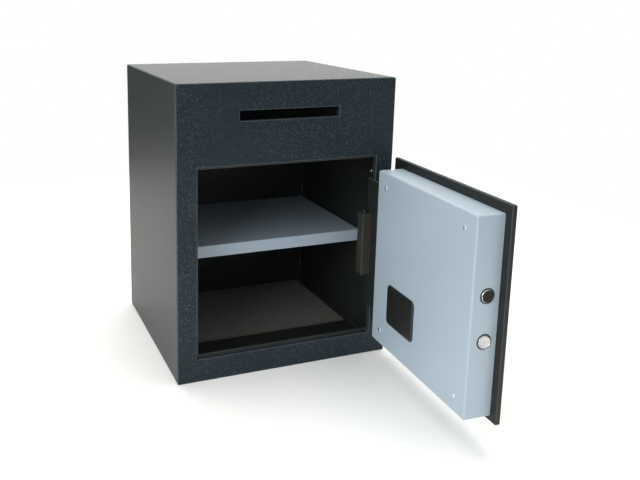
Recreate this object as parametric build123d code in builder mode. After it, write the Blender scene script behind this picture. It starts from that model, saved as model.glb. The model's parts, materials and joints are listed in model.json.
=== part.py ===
"""Deposit drop box: a folded steel cabinet with a slot, a flush hinged door and its lock.

Millimetres, +Z up. The origin is the centre of the base, and the front faces -Y.
Everything on the door is drawn with the door shut, then swung open about the hinge pin.
"""
from build123d import *
import os
from math import cos, radians, sin

os.makedirs("parts", exist_ok=True)

# ---- cabinet ----
BODY_W = 350
BODY_D = 322
BODY_H = 450
SHEET = 3
FRAME_T = 7
BODY_CORNER_R = 2.5
LEFT_X = -BODY_W / 2
RIGHT_X = BODY_W / 2
FRONT_Y = -BODY_D / 2
BACK_Y = BODY_D / 2
INNER_LEFT = LEFT_X + SHEET
INNER_RIGHT = RIGHT_X - SHEET
FRAME_BACK = FRONT_Y + FRAME_T

# ---- door opening and slot ----
STILE_LATCH = 30
STILE_HINGE = 28.5
SILL = 36
OPEN_LEFT = LEFT_X + STILE_LATCH
OPEN_RIGHT = RIGHT_X - STILE_HINGE
OPEN_TOP = 329
SLOT_W = 160
SLOT_H = 15
SLOT_Z = 401.5
STOP_T = 3
STOP_LIP = 3.7
STOP_BACKING = 12
STOP_END_GAP = 1
STOP_EDGE_R = 1.2
FRAME_EDGE_R = 0.8

# ---- strike behind the latch stile ----
STRIKE_T = 3
STRIKE_HALF_H = 60
STRIKE_DEPTH = 34
STRIKE_FLANGE = 18
STRIKE_RIGHT = OPEN_LEFT - 3
STRIKE_LEFT = STRIKE_RIGHT - STRIKE_T
STRIKE_Y = FRAME_BACK + STOP_T

# ---- chute and baffle behind the slot; reaches are measured back from the frame ----
FOLD_T = 1.5
SLOT_LOW = SLOT_Z - SLOT_H / 2
CHUTE_OVERLAP = 10
CHUTE_LIP_TOP = SLOT_LOW - 2
CHUTE_LIP_LOW = SLOT_LOW - 18
CHUTE_REACH = 55
CHUTE_FALL = 44
CHUTE_BEND_R = 2
BAFFLE_OVERLAP = 30
BAFFLE_TOP = BODY_H - SHEET - FOLD_T / 2
BAFFLE_FLANGE = 22
BAFFLE_REACH = 46
BAFFLE_BEND_Z = SLOT_Z + 10
BAFFLE_TIP_REACH = 76
BAFFLE_TIP_Z = 362
BAFFLE_BEND_R = 3
NOTCH_COUNT = 11
NOTCH_PITCH = 20
NOTCH_W = 10
NOTCH_LOW = 355
NOTCH_DEPTH = 14

# ---- shelf, its pegs, floor mat and the screw in the right wall ----
SHELF_TOP = 183
SHELF_LIP = 19
SHELF_T = 1.5
SHELF_FRONT = FRONT_Y + 82
SHELF_BACK = BACK_Y - 8
SHELF_HALF = 168
SHELF_EDGE_R = 1.2
FLANGE_DROP = 8
FLANGE_LOW = SHELF_TOP - FLANGE_DROP
PEG_R = 3
PEG_L = 10
PEG_PLACES = (SHELF_FRONT + 28, SHELF_BACK - 90)
MAT_T = 4
MAT_INSET = 7
MAT_FRONT = FRONT_Y + 117
MAT_BACK_GAP = 1
WALL_SCREW_Y = FRONT_Y + 56
WALL_SCREW_Z = 291
WALL_SCREW_R = 3.5
WALL_SCREW_HEAD = 2.6
WALL_SCREW_CROWN = 2.2

# ---- back panel and its anchor holes ----
ANCHOR_SPACING_X = 200
ANCHOR_SPACING_Z = 250
ANCHOR_Z = 245
ANCHOR_R = 6

# ---- hinge ----
HINGE_X = RIGHT_X - 7.5
HINGE_Y = FRONT_Y + 13.6
PIN_R = 2.5
PIN_CLEARANCE = 0.05
KNUCKLE_R = 4
LEAF_T = 3
LEAF_BOTTOM = 83
LEAF_TOP = 291
LEAF_BEND_R = 4
BRACKET_H = 12
WASHER_T = 1.5
WASHER_GAP = 0.5
DOOR_OPEN = 87
BRACKET_FRONT = HINGE_Y - 5
BRACKET_BACK = HINGE_Y + 6
BRACKET_LEFT = HINGE_X - 5
BRACKET_LOW = LEAF_BOTTOM - WASHER_GAP - WASHER_T - BRACKET_H
BRACKET_HIGH = LEAF_TOP + WASHER_GAP + WASHER_T
LEAF_WEB_Y = FRONT_Y + 38
LEAF_LEG_X = LEFT_X + 305
LEAF_FOOT_X = LEFT_X + 315

# ---- steel block on the leaf, with the rod through it ----
BLOCK_BOTTOM = 137
BLOCK_TOP = 236
BLOCK_W = 18
BLOCK_T = 14
BLOCK_X = LEFT_X + 335
BLOCK_FRONT = LEAF_WEB_Y + LEAF_T / 2
BLOCK_CORNER_R = 1.5
BLOCK_EDGE_R = 0.6
BLOCK_ROD_R = 2.5
BLOCK_ROD_PROUD = 5
BLOCK_ROD_CHAMFER = 0.6

# ---- door ----
PLATE_T = 6.5
PLATE_LEFT = OPEN_LEFT + 2
PLATE_RIGHT = OPEN_RIGHT - 3.5
PLATE_BOTTOM = SILL + 2
PLATE_TOP = OPEN_TOP - 2
PLATE_BACK = FRONT_Y + PLATE_T
LINER_LEFT = PLATE_LEFT + 12.7
LINER_W = 251
LINER_RIGHT = LINER_LEFT + LINER_W
LINER_BOTTOM = PLATE_BOTTOM + 6
LINER_H = 270
LINER_TOP = LINER_BOTTOM + LINER_H
LINER_DEPTH = 39
LINER_FACE = PLATE_BACK + LINER_DEPTH
LINER_SHEET = 1.5
LINER_CORNER_R = 3
LINER_FOLD_R = 2.5
PLATE_CORNER_R = 2
PLATE_EDGE_R = 0.8
CABLE_HOLE_R = 5
SCREW_INSET_X = 24.5
SCREW_INSET_Z = 22.5
SCREW_HEAD_R = 3
SCREW_HEAD_T = 1.8
SCREW_CROWN = 1.2
SCREW_SHANK_R = 1.9
SCREW_SHANK_L = 12
SCREW_HOLE_R = SCREW_SHANK_R + 0.2
PILLAR_R = 4
PILLAR_BORE_R = SCREW_SHANK_R + 0.1
PILLAR_BORE_L = 14
OVERCUT = 1

# ---- lock ----
LOCK_X = LEFT_X + 91
LOCK_Z = 179.3
BOLT_PITCH = 60.6
BOLT_R = 9
BOLT_L = 40
BOLT_PROUD = 2
BOLT_Y = FRONT_Y + 24
BOLT_TRAVEL = 18
BUSH_R = 10.65
RUNNING_GAP = 0.1
CRANK_R = BOLT_TRAVEL / 2 / sin(radians(45))
CRANK_PIN_R = 2.5
BOLT_CHAMFER = 1.2
BOLT_TIP = LINER_LEFT - BOLT_PROUD
BOLT_END = BOLT_TIP + BOLT_L
BUSH_FLANGE = 2
BUSH_L = 3
CARRIAGE_T = 3
CARRIAGE_Y = BOLT_Y - CARRIAGE_T / 2
CARRIAGE_MARGIN = 8
CARRIAGE_TOP = LOCK_Z + BOLT_PITCH / 2 + CARRIAGE_MARGIN
CARRIAGE_BOTTOM = LOCK_Z - BOLT_PITCH / 2 - CARRIAGE_MARGIN
CRANK_PIN_X = LOCK_X + BOLT_TRAVEL / 2
CRANK_PIN_Z = LOCK_Z + CRANK_R * cos(radians(45))
CARRIAGE_RIGHT = CRANK_PIN_X + 9
CRANK_SLOT_R = CRANK_PIN_R + 0.7
CRANK_T = 4
CRANK_BACK = BOLT_Y - 6
TAB_X = LEFT_X + 104
TAB_W = 8
TAB_H = 8
CHASSIS_T = 3
CHASSIS_FLANGE = LINER_LEFT + 11
CHASSIS_RIGHT = LOCK_X + 34
CHASSIS_HALF_H = 46
CHASSIS_TOP = LOCK_Z + 104
CHASSIS_FLANGE_BACK = BOLT_Y + 13

# ---- solenoid that blocks the carriage ----
SOLENOID_Z = CARRIAGE_TOP + 22
SOLENOID_H = 36
SOLENOID_HALF_W = 11
SOLENOID_BACK = BOLT_Y + 10
SOLENOID_BORE_MID = 14
PLUNGER_R = 3
PLUNGER_L = 32
PLUNGER_X = TAB_X - BOLT_TRAVEL / 2
PLUNGER_LOW = CARRIAGE_TOP + 9.5

# ---- knob and spindle ----
SPINDLE_R = 5
KNOB_R = 21
KNOB_GAP = 0.6
KNOB_DISC_T = 9
KNOB_FRONT = FRONT_Y - 28
KNOB_GRIP_HALF_W = 6
KNOB_GRIP_INSET = 2
KNOB_EDGE_R = 2.5
KNOB_BUSH_R = 8
SPINDLE_FRONT = FRONT_Y - 18

# ---- key-operated override lock ----
OVERRIDE_X = LOCK_X
OVERRIDE_Z = LOCK_Z - 62
OVERRIDE_R = 11
OVERRIDE_FLANGE = 2
OVERRIDE_PROUD = 3
OVERRIDE_L = 26
OVERRIDE_EDGE_R = 1
PLUG_R = 6
KEYWAY_W = 1.6
KEYWAY_H = 8
KEYWAY_L = 20

# ---- battery bay in the liner ----
COVER_W = 75.5
COVER_H = 62
COVER_RIGHT = LINER_RIGHT - 45
COVER_BOTTOM = LINER_BOTTOM + 43.5
COVER_X = COVER_RIGHT - COVER_W / 2
COVER_Z = COVER_BOTTOM + COVER_H / 2
COVER_T = 2.5
BAY_W = 67
BAY_H = 55
CELL_R = 7.25
CELL_L = 50.5
CELL_PITCH = 15.6
CELL_Y = LINER_FACE - 12
COVER_CORNER_R = 8
COVER_CHAMFER = 1.4
TRAY_BACK = LINER_FACE - 26
TRAY_FRONT = LINER_FACE - 3
TRAY_WALL = 1.5
TRAY_END_WALL = 0.75
CONTACT_HALF = 5
CONTACT_T = 1

# ---- keypad ----
PAD_X = LEFT_X + 180
PAD_Z = LOCK_Z
PAD_W = 76
PAD_H = 104
PAD_T = 12
KEY_W = 15
KEY_H = 12
KEY_GAP = 0.4
KEY_PITCH_X = 20
KEY_PITCH_Z = 17
KEY_NAMES = ["1", "2", "3", "4", "5", "6", "7", "8", "9", "clear", "0", "enter"]
KEY_PROUD = 2.5
KEY_L = 8.5
KEY_FRONT = FRONT_Y - PAD_T - KEY_PROUD
KEY_CORNER_R = 1.5
KEY_EDGE_R = 0.8
KEYS_Z = PAD_Z - 8
WELL_DEPTH = 8
PAD_CORNER_R = 8
PAD_EDGE_R = 3
LENS_R = 2.5
LENS_PITCH = 14
LENS_PROUD = 1
LENS_DEPTH = 4
LENS_CROWN = 0.8
LENS_Z = PAD_Z + 40

# ---- circuit board behind the keypad ----
BOARD_LEFT = PAD_X + 8
BOARD_RIGHT = PAD_X + 68
BOARD_LOW = LOCK_Z + 10
BOARD_HIGH = LOCK_Z + 100
BOARD_T = 1.6
BOARD_STANDOFF = 6
STANDOFF_R = 2.5
STANDOFF_INSET = 4


def upright(y):
    """A plane across the front view: local x is X, local y is Z, and it faces -Y."""
    return Plane.XZ.offset(-y)


def slab(x_span, y_span, z_span, mode=Mode.ADD):
    """A box between two corners, added to the part being built."""
    spans = (x_span, y_span, z_span)
    centre = [(low + high) / 2 for low, high in spans]
    size = [high - low for low, high in spans]
    with Locations(tuple(centre)):
        Box(*size, mode=mode)


def rod_along_y(x, z, radius, y_span, mode=Mode.ADD):
    """A round bar or hole along Y, added to the part being built."""
    low, high = y_span
    with Locations((x, (low + high) / 2, z)):
        Cylinder(radius, high - low, rotation=(90, 0, 0), mode=mode)


def rod_along_x(y, z, radius, x_span, mode=Mode.ADD):
    """A round bar or hole along X, added to the part being built."""
    low, high = x_span
    with Locations(((low + high) / 2, y, z)):
        Cylinder(radius, high - low, rotation=(0, 90, 0), mode=mode)


def save(part, name):
    """Label a finished piece and write its STEP file."""
    part.label = name
    export_step(part, f"parts/{name}.step")


def save_on_door(part, name):
    """Swing a piece drawn on the shut door to the open rest pose, then write it."""
    hinge = Axis((HINGE_X, HINGE_Y, 0), (0, 0, 1))
    save(part.rotate(hinge, DOOR_OPEN), name)


# ================= cabinet =================

with BuildPart() as cabinet_wrap:
    with BuildSketch(upright(FRAME_BACK)):
        with Locations((0, BODY_H / 2)):
            RectangleRounded(BODY_W, BODY_H, BODY_CORNER_R)
            Rectangle(BODY_W - 2 * SHEET, BODY_H - 2 * SHEET, mode=Mode.SUBTRACT)
    extrude(amount=-(BODY_D - FRAME_T))
save(cabinet_wrap.part, "cabinet_wrap")

with BuildPart() as back_panel:
    with BuildSketch(upright(BACK_Y - SHEET)):
        with Locations((0, BODY_H / 2)):
            Rectangle(BODY_W - 2 * SHEET, BODY_H - 2 * SHEET)
        with Locations((0, ANCHOR_Z)):
            with GridLocations(ANCHOR_SPACING_X, ANCHOR_SPACING_Z, 2, 2):
                Circle(ANCHOR_R, mode=Mode.SUBTRACT)
    extrude(amount=-SHEET)
save(back_panel.part, "back_panel")

with BuildPart() as front_frame:
    with BuildSketch(upright(FRONT_Y)):
        with Locations((0, BODY_H / 2)):
            RectangleRounded(BODY_W, BODY_H, BODY_CORNER_R)
        with Locations((OPEN_LEFT, SILL)):
            Rectangle(OPEN_RIGHT - OPEN_LEFT, OPEN_TOP - SILL, align=(Align.MIN, Align.MIN),
                      mode=Mode.SUBTRACT)
        with Locations((0, SLOT_Z)):
            Rectangle(SLOT_W, SLOT_H, mode=Mode.SUBTRACT)
    extrude(amount=-FRAME_T)
    fillet(front_frame.edges().filter_by(Plane.XZ).group_by(Axis.Y)[0], radius=FRAME_EDGE_R)
save(front_frame.part, "front_frame")

# The stop is a strip behind the frame on three sides; the hinge side is left free for the leaf.
with BuildPart() as door_stop:
    stop_y = (FRAME_BACK, FRAME_BACK + STOP_T)
    stop_left = OPEN_LEFT - STOP_BACKING
    stop_bottom = SILL - STOP_BACKING
    stop_top = OPEN_TOP + STOP_BACKING
    slab((stop_left, OPEN_RIGHT - STOP_END_GAP), stop_y, (stop_bottom, SILL + STOP_LIP))
    slab((stop_left, OPEN_RIGHT - STOP_END_GAP), stop_y, (OPEN_TOP - STOP_LIP, stop_top))
    slab((stop_left, OPEN_LEFT + STOP_LIP), stop_y, (stop_bottom, stop_top))
    lips = door_stop.edges().filter_by(Axis.X).group_by(Axis.Y)[0].group_by(Axis.Z)[1]
    fillet(lips, radius=STOP_EDGE_R)
save(door_stop.part, "door_stop")

# Angle welded behind the latch stile, with a hole for each bolt.
with BuildPart() as bolt_strike:
    strike_z = (LOCK_Z - STRIKE_HALF_H, LOCK_Z + STRIKE_HALF_H)
    slab((STRIKE_LEFT, STRIKE_RIGHT), (STRIKE_Y, STRIKE_Y + STRIKE_DEPTH), strike_z)
    slab((STRIKE_LEFT - STRIKE_FLANGE, STRIKE_LEFT), (STRIKE_Y, STRIKE_Y + STRIKE_T), strike_z)
    for side in (-1, 1):
        bolt_z = LOCK_Z + side * BOLT_PITCH / 2
        rod_along_x(BOLT_Y, bolt_z, BOLT_R + 1, (STRIKE_LEFT - OVERCUT, STRIKE_RIGHT + OVERCUT),
                    mode=Mode.SUBTRACT)
save(bolt_strike.part, "bolt_strike")

# Sloped floor that leads a slip from the slot down into the cabinet.
with BuildPart() as slot_chute:
    with BuildSketch(Plane.YZ.offset(-SLOT_W / 2 - CHUTE_OVERLAP)):
        with BuildLine():
            chute_line = FilletPolyline(
                (FRAME_BACK + FOLD_T / 2, CHUTE_LIP_LOW),
                (FRAME_BACK + FOLD_T / 2, CHUTE_LIP_TOP),
                (FRAME_BACK + CHUTE_REACH, SLOT_LOW - CHUTE_FALL),
                radius=CHUTE_BEND_R,
            )
        trace(chute_line, line_width=FOLD_T)
    extrude(amount=SLOT_W + 2 * CHUTE_OVERLAP)
save(slot_chute.part, "slot_chute")

# Hanging plate behind the slot, with a toothed lower edge, that stops a hand or hook.
with BuildPart() as anti_fish_baffle:
    with BuildSketch(Plane.YZ.offset(-SLOT_W / 2 - BAFFLE_OVERLAP)):
        with BuildLine():
            baffle_line = FilletPolyline(
                (FRAME_BACK + BAFFLE_FLANGE, BAFFLE_TOP),
                (FRAME_BACK + BAFFLE_REACH, BAFFLE_TOP),
                (FRAME_BACK + BAFFLE_REACH, BAFFLE_BEND_Z),
                (FRAME_BACK + BAFFLE_TIP_REACH, BAFFLE_TIP_Z),
                radius=BAFFLE_BEND_R,
            )
        trace(baffle_line, line_width=FOLD_T)
    extrude(amount=SLOT_W + 2 * BAFFLE_OVERLAP)
    with BuildSketch(Plane.XY.offset(NOTCH_LOW)):
        with Locations((0, FRAME_BACK + BAFFLE_TIP_REACH - 2)):
            with GridLocations(NOTCH_PITCH, 1, NOTCH_COUNT, 1):
                Rectangle(NOTCH_W, NOTCH_DEPTH)
    extrude(amount=NOTCH_DEPTH, mode=Mode.SUBTRACT)
save(anti_fish_baffle.part, "anti_fish_baffle")

with BuildPart() as shelf:
    depth = (SHELF_FRONT, SHELF_BACK)
    slab((-SHELF_HALF, SHELF_HALF), depth, (SHELF_TOP - SHELF_T, SHELF_TOP))
    slab((-SHELF_HALF, SHELF_HALF), (SHELF_FRONT, SHELF_FRONT + SHELF_T), (SHELF_TOP - SHELF_LIP, SHELF_TOP))
    slab((-SHELF_HALF, SHELF_HALF), (SHELF_BACK - SHELF_T, SHELF_BACK), (FLANGE_LOW, SHELF_TOP))
    for side in (-1, 1):
        wall = sorted((side * SHELF_HALF, side * (SHELF_HALF - SHELF_T)))
        slab(wall, depth, (FLANGE_LOW, SHELF_TOP))
    fillet(shelf.edges().filter_by(Axis.X).group_by(Axis.Y)[0].group_by(Axis.Z)[-1], radius=SHELF_EDGE_R)
save(shelf.part, "shelf")

with BuildPart() as shelf_pegs:
    for side in (-1, 1):
        reach = sorted((side * INNER_RIGHT, side * (INNER_RIGHT - PEG_L)))
        for peg_y in PEG_PLACES:
            rod_along_x(peg_y, FLANGE_LOW - PEG_R, PEG_R, reach)
save(shelf_pegs.part, "shelf_pegs")

with BuildPart() as floor_mat:
    slab((INNER_LEFT + MAT_INSET, INNER_RIGHT - MAT_INSET), (MAT_FRONT, BACK_Y - SHEET - MAT_BACK_GAP),
         (SHEET, SHEET + MAT_T))
save(floor_mat.part, "floor_mat")

with BuildPart() as hinge_brackets:
    for base in (BRACKET_LOW, BRACKET_HIGH):
        slab((BRACKET_LEFT, INNER_RIGHT), (BRACKET_FRONT, BRACKET_BACK), (base, base + BRACKET_H))
    with Locations((HINGE_X, HINGE_Y, BODY_H / 2)):
        Cylinder(PIN_R, BODY_H, mode=Mode.SUBTRACT)
save(hinge_brackets.part, "hinge_brackets")

with BuildPart() as hinge_pin:
    with BuildSketch(Plane.XY.offset(BRACKET_LOW)):
        with Locations((HINGE_X, HINGE_Y)):
            Circle(PIN_R)
    extrude(amount=BRACKET_HIGH + BRACKET_H - BRACKET_LOW)
save(hinge_pin.part, "hinge_pin")

with BuildPart() as hinge_washers:
    for base in (LEAF_BOTTOM - WASHER_GAP - WASHER_T, BRACKET_HIGH - WASHER_T):
        with BuildSketch(Plane.XY.offset(base)):
            with Locations((HINGE_X, HINGE_Y)):
                Circle(KNUCKLE_R)
                Circle(PIN_R, mode=Mode.SUBTRACT)
        extrude(amount=WASHER_T)
save(hinge_washers.part, "hinge_washers")

with BuildPart() as wall_screw:
    rod_along_x(WALL_SCREW_Y, WALL_SCREW_Z, WALL_SCREW_R, (INNER_RIGHT - WALL_SCREW_HEAD, INNER_RIGHT))
    fillet(wall_screw.faces().sort_by(Axis.X)[0].edges(), radius=WALL_SCREW_CROWN)
save(wall_screw.part, "wall_screw")

# ================= door, drawn shut =================

with BuildPart() as door_plate:
    slab((PLATE_LEFT, PLATE_RIGHT), (FRONT_Y, PLATE_BACK), (PLATE_BOTTOM, PLATE_TOP))
    fillet(door_plate.edges().filter_by(Axis.Y), radius=PLATE_CORNER_R)
    fillet(door_plate.edges().filter_by(Plane.XZ), radius=PLATE_EDGE_R)
    through = (FRONT_Y - OVERCUT, PLATE_BACK + OVERCUT)
    rod_along_y(LOCK_X, LOCK_Z, KNOB_BUSH_R, through, mode=Mode.SUBTRACT)
    rod_along_y(OVERRIDE_X, OVERRIDE_Z, OVERRIDE_R, through, mode=Mode.SUBTRACT)
    rod_along_y(PAD_X, PAD_Z, CABLE_HOLE_R, through, mode=Mode.SUBTRACT)
save_on_door(door_plate.part, "door_plate")

screw_points = [
    (x, z)
    for x in (LINER_LEFT + SCREW_INSET_X, LINER_RIGHT - SCREW_INSET_X)
    for z in (LINER_BOTTOM + SCREW_INSET_Z, LINER_TOP - SCREW_INSET_Z)
]
bolt_heights = [LOCK_Z - BOLT_PITCH / 2, LOCK_Z + BOLT_PITCH / 2]

with BuildPart() as door_liner:
    slab((LINER_LEFT, LINER_RIGHT), (PLATE_BACK, LINER_FACE), (LINER_BOTTOM, LINER_TOP))
    fillet(door_liner.edges().filter_by(Axis.Y), radius=LINER_CORNER_R)
    fillet(door_liner.faces().sort_by(Axis.Y)[-1].edges(), radius=LINER_FOLD_R)
    slab((LINER_LEFT + LINER_SHEET, LINER_RIGHT - LINER_SHEET), (PLATE_BACK, LINER_FACE - LINER_SHEET),
         (LINER_BOTTOM + LINER_SHEET, LINER_TOP - LINER_SHEET), mode=Mode.SUBTRACT)
    face_cut = (LINER_FACE - LINER_SHEET - OVERCUT, LINER_FACE + OVERCUT)
    slab((COVER_X - BAY_W / 2, COVER_X + BAY_W / 2), face_cut,
         (COVER_Z - BAY_H / 2, COVER_Z + BAY_H / 2), mode=Mode.SUBTRACT)
    for screw_x, screw_z in screw_points:
        rod_along_y(screw_x, screw_z, SCREW_HOLE_R, face_cut, mode=Mode.SUBTRACT)
    for bolt_z in bolt_heights:
        rod_along_x(BOLT_Y, bolt_z, BUSH_R, (LINER_LEFT - OVERCUT, LINER_LEFT + LINER_SHEET + OVERCUT),
                    mode=Mode.SUBTRACT)
save_on_door(door_liner.part, "door_liner")

with BuildPart() as liner_screws:
    for screw_x, screw_z in screw_points:
        rod_along_y(screw_x, screw_z, SCREW_HEAD_R, (LINER_FACE, LINER_FACE + SCREW_HEAD_T))
        rod_along_y(screw_x, screw_z, SCREW_SHANK_R, (LINER_FACE - SCREW_SHANK_L, LINER_FACE))
    fillet(liner_screws.edges().filter_by(GeomType.CIRCLE).group_by(Axis.Y)[-1], radius=SCREW_CROWN)
save_on_door(liner_screws.part, "liner_screws")

with BuildPart() as liner_pillars:
    for screw_x, screw_z in screw_points:
        rod_along_y(screw_x, screw_z, PILLAR_R, (PLATE_BACK, LINER_FACE - LINER_SHEET))
        rod_along_y(screw_x, screw_z, PILLAR_BORE_R, (LINER_FACE - PILLAR_BORE_L, LINER_FACE),
                    mode=Mode.SUBTRACT)
save_on_door(liner_pillars.part, "liner_pillars")

# The leaf wraps round the hinge stile: along the liner, across behind it, and back to the pin.
with BuildPart() as hinge_leaf:
    with BuildSketch(Plane.XY.offset(LEAF_BOTTOM)):
        with BuildLine():
            leaf_line = FilletPolyline(
                (LEAF_FOOT_X, PLATE_BACK + LEAF_T / 2),
                (LEAF_LEG_X, PLATE_BACK + LEAF_T / 2),
                (LEAF_LEG_X, LEAF_WEB_Y),
                (HINGE_X, LEAF_WEB_Y),
                (HINGE_X, HINGE_Y + KNUCKLE_R - 1),
                radius=LEAF_BEND_R,
            )
        trace(leaf_line, line_width=LEAF_T)
        with Locations((HINGE_X, HINGE_Y)):
            Circle(KNUCKLE_R)
            Circle(PIN_R + PIN_CLEARANCE, mode=Mode.SUBTRACT)
    extrude(amount=LEAF_TOP - LEAF_BOTTOM)
save_on_door(hinge_leaf.part, "hinge_leaf")

with BuildPart() as hinge_block:
    slab((BLOCK_X - BLOCK_W / 2, BLOCK_X + BLOCK_W / 2), (BLOCK_FRONT, BLOCK_FRONT + BLOCK_T),
         (BLOCK_BOTTOM, BLOCK_TOP))
    fillet(hinge_block.edges().filter_by(Axis.Z).group_by(Axis.Y)[-1], radius=BLOCK_CORNER_R)
    fillet(hinge_block.edges().group_by(Axis.Z)[-1], radius=BLOCK_EDGE_R)
    with Locations((BLOCK_X, BLOCK_FRONT + BLOCK_T / 2, BODY_H / 2)):
        Cylinder(BLOCK_ROD_R, BODY_H, mode=Mode.SUBTRACT)
save_on_door(hinge_block.part, "hinge_block")

with BuildPart() as hinge_block_rod:
    with BuildSketch(Plane.XY.offset(BLOCK_BOTTOM - BLOCK_ROD_PROUD)):
        with Locations((BLOCK_X, BLOCK_FRONT + BLOCK_T / 2)):
            Circle(BLOCK_ROD_R)
    extrude(amount=BLOCK_TOP - BLOCK_BOTTOM + 2 * BLOCK_ROD_PROUD)
    chamfer(hinge_block_rod.edges().filter_by(GeomType.CIRCLE), length=BLOCK_ROD_CHAMFER)
save_on_door(hinge_block_rod.part, "hinge_block_rod")

# ---- battery bay ----

with BuildPart() as battery_tray:
    half_w = BAY_W / 2
    half_h = BAY_H / 2
    slab((COVER_X - half_w, COVER_X + half_w), (TRAY_BACK, TRAY_FRONT), (COVER_Z - half_h, COVER_Z + half_h))
    slab((COVER_X - half_w + TRAY_WALL, COVER_X + half_w - TRAY_WALL), (TRAY_BACK + TRAY_WALL, LINER_FACE),
         (COVER_Z - half_h + TRAY_END_WALL, COVER_Z + half_h - TRAY_END_WALL), mode=Mode.SUBTRACT)
save_on_door(battery_tray.part, "battery_tray")

cell_places = [COVER_X + (index - 1.5) * CELL_PITCH for index in range(4)]

with BuildPart() as battery_cells:
    with BuildSketch(Plane.XY.offset(COVER_Z - CELL_L / 2)):
        with Locations(*[(x, CELL_Y) for x in cell_places]):
            Circle(CELL_R)
    extrude(amount=CELL_L)
save_on_door(battery_cells.part, "battery_cells")

with BuildPart() as battery_contacts:
    for x in cell_places:
        for end in (-1, 1):
            z_span = sorted((COVER_Z + end * CELL_L / 2, COVER_Z + end * (CELL_L / 2 + CONTACT_T)))
            slab((x - CONTACT_HALF, x + CONTACT_HALF), (CELL_Y - CONTACT_HALF, CELL_Y + CONTACT_HALF), z_span)
save_on_door(battery_contacts.part, "battery_contacts")

with BuildPart() as battery_cover:
    with BuildSketch(upright(LINER_FACE)):
        with Locations((COVER_X, COVER_Z)):
            RectangleRounded(COVER_W, COVER_H, COVER_CORNER_R)
    extrude(amount=-COVER_T)
    chamfer(battery_cover.faces().sort_by(Axis.Y)[-1].edges(), length=COVER_CHAMFER)
save_on_door(battery_cover.part, "battery_cover")

# ---- boltwork ----

with BuildPart() as bolt_bushes:
    for bolt_z in bolt_heights:
        bush_end = LINER_LEFT + BUSH_L
        rod_along_x(BOLT_Y, bolt_z, BUSH_R, (LINER_LEFT, bush_end))
        rod_along_x(BOLT_Y, bolt_z, BUSH_R + BUSH_FLANGE, (LINER_LEFT + LINER_SHEET, bush_end))
        rod_along_x(BOLT_Y, bolt_z, BOLT_R + RUNNING_GAP, (LINER_LEFT - OVERCUT, bush_end + OVERCUT),
                    mode=Mode.SUBTRACT)
save_on_door(bolt_bushes.part, "bolt_bushes")

with BuildPart() as locking_bolts:
    for bolt_z in bolt_heights:
        rod_along_x(BOLT_Y, bolt_z, BOLT_R, (BOLT_TIP, BOLT_END))
    chamfer(locking_bolts.edges().filter_by(GeomType.CIRCLE).group_by(Axis.X)[0], length=BOLT_CHAMFER)
save_on_door(locking_bolts.part, "locking_bolts")

with BuildPart() as bolt_carriage:
    carriage_y = (CARRIAGE_Y, CARRIAGE_Y + CARRIAGE_T)
    slab((BOLT_END, CARRIAGE_RIGHT), carriage_y, (CARRIAGE_BOTTOM, CARRIAGE_TOP))
    slab((TAB_X - TAB_W / 2, TAB_X + TAB_W / 2), carriage_y, (CARRIAGE_TOP, CARRIAGE_TOP + TAB_H))
    slab((CRANK_PIN_X - CRANK_SLOT_R, CRANK_PIN_X + CRANK_SLOT_R), carriage_y,
         (CRANK_PIN_Z - CRANK_SLOT_R, LOCK_Z + CRANK_R + CRANK_SLOT_R), mode=Mode.SUBTRACT)
save_on_door(bolt_carriage.part, "bolt_carriage")

with BuildPart() as lock_chassis:
    slab((CHASSIS_FLANGE, CHASSIS_RIGHT), (PLATE_BACK, PLATE_BACK + CHASSIS_T),
         (LOCK_Z - CHASSIS_HALF_H, CHASSIS_TOP))
    slab((CHASSIS_FLANGE, CHASSIS_FLANGE + CHASSIS_T), (PLATE_BACK + CHASSIS_T, CHASSIS_FLANGE_BACK),
         (LOCK_Z - CHASSIS_HALF_H, LOCK_Z + CHASSIS_HALF_H))
    rod_along_y(LOCK_X, LOCK_Z, KNOB_BUSH_R, (PLATE_BACK - OVERCUT, PLATE_BACK + CHASSIS_T + OVERCUT),
                mode=Mode.SUBTRACT)
    for bolt_z in bolt_heights:
        rod_along_x(BOLT_Y, bolt_z, BOLT_R + RUNNING_GAP,
                    (CHASSIS_FLANGE - OVERCUT, CHASSIS_FLANGE + CHASSIS_T + OVERCUT), mode=Mode.SUBTRACT)
save_on_door(lock_chassis.part, "lock_chassis")

with BuildPart() as solenoid_body:
    slab((PLUNGER_X - SOLENOID_HALF_W, PLUNGER_X + SOLENOID_HALF_W), (PLATE_BACK + CHASSIS_T, SOLENOID_BACK),
         (SOLENOID_Z, SOLENOID_Z + SOLENOID_H))
    with Locations((PLUNGER_X, BOLT_Y, SOLENOID_Z + SOLENOID_BORE_MID)):
        Cylinder(PLUNGER_R + RUNNING_GAP, PLUNGER_L, mode=Mode.SUBTRACT)
save_on_door(solenoid_body.part, "solenoid_body")

with BuildPart() as solenoid_plunger:
    with BuildSketch(Plane.XY.offset(PLUNGER_LOW)):
        with Locations((PLUNGER_X, BOLT_Y)):
            Circle(PLUNGER_R)
    extrude(amount=PLUNGER_L)
save_on_door(solenoid_plunger.part, "solenoid_plunger")

with BuildPart() as circuit_board:
    board_y = PLATE_BACK + BOARD_STANDOFF
    slab((BOARD_LEFT, BOARD_RIGHT), (board_y, board_y + BOARD_T), (BOARD_LOW, BOARD_HIGH))
    for corner_x in (BOARD_LEFT + STANDOFF_INSET, BOARD_RIGHT - STANDOFF_INSET):
        for corner_z in (BOARD_LOW + STANDOFF_INSET, BOARD_HIGH - STANDOFF_INSET):
            rod_along_y(corner_x, corner_z, STANDOFF_R, (PLATE_BACK, board_y))
save_on_door(circuit_board.part, "circuit_board")

# ---- knob, spindle and crank, which turn together ----

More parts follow.
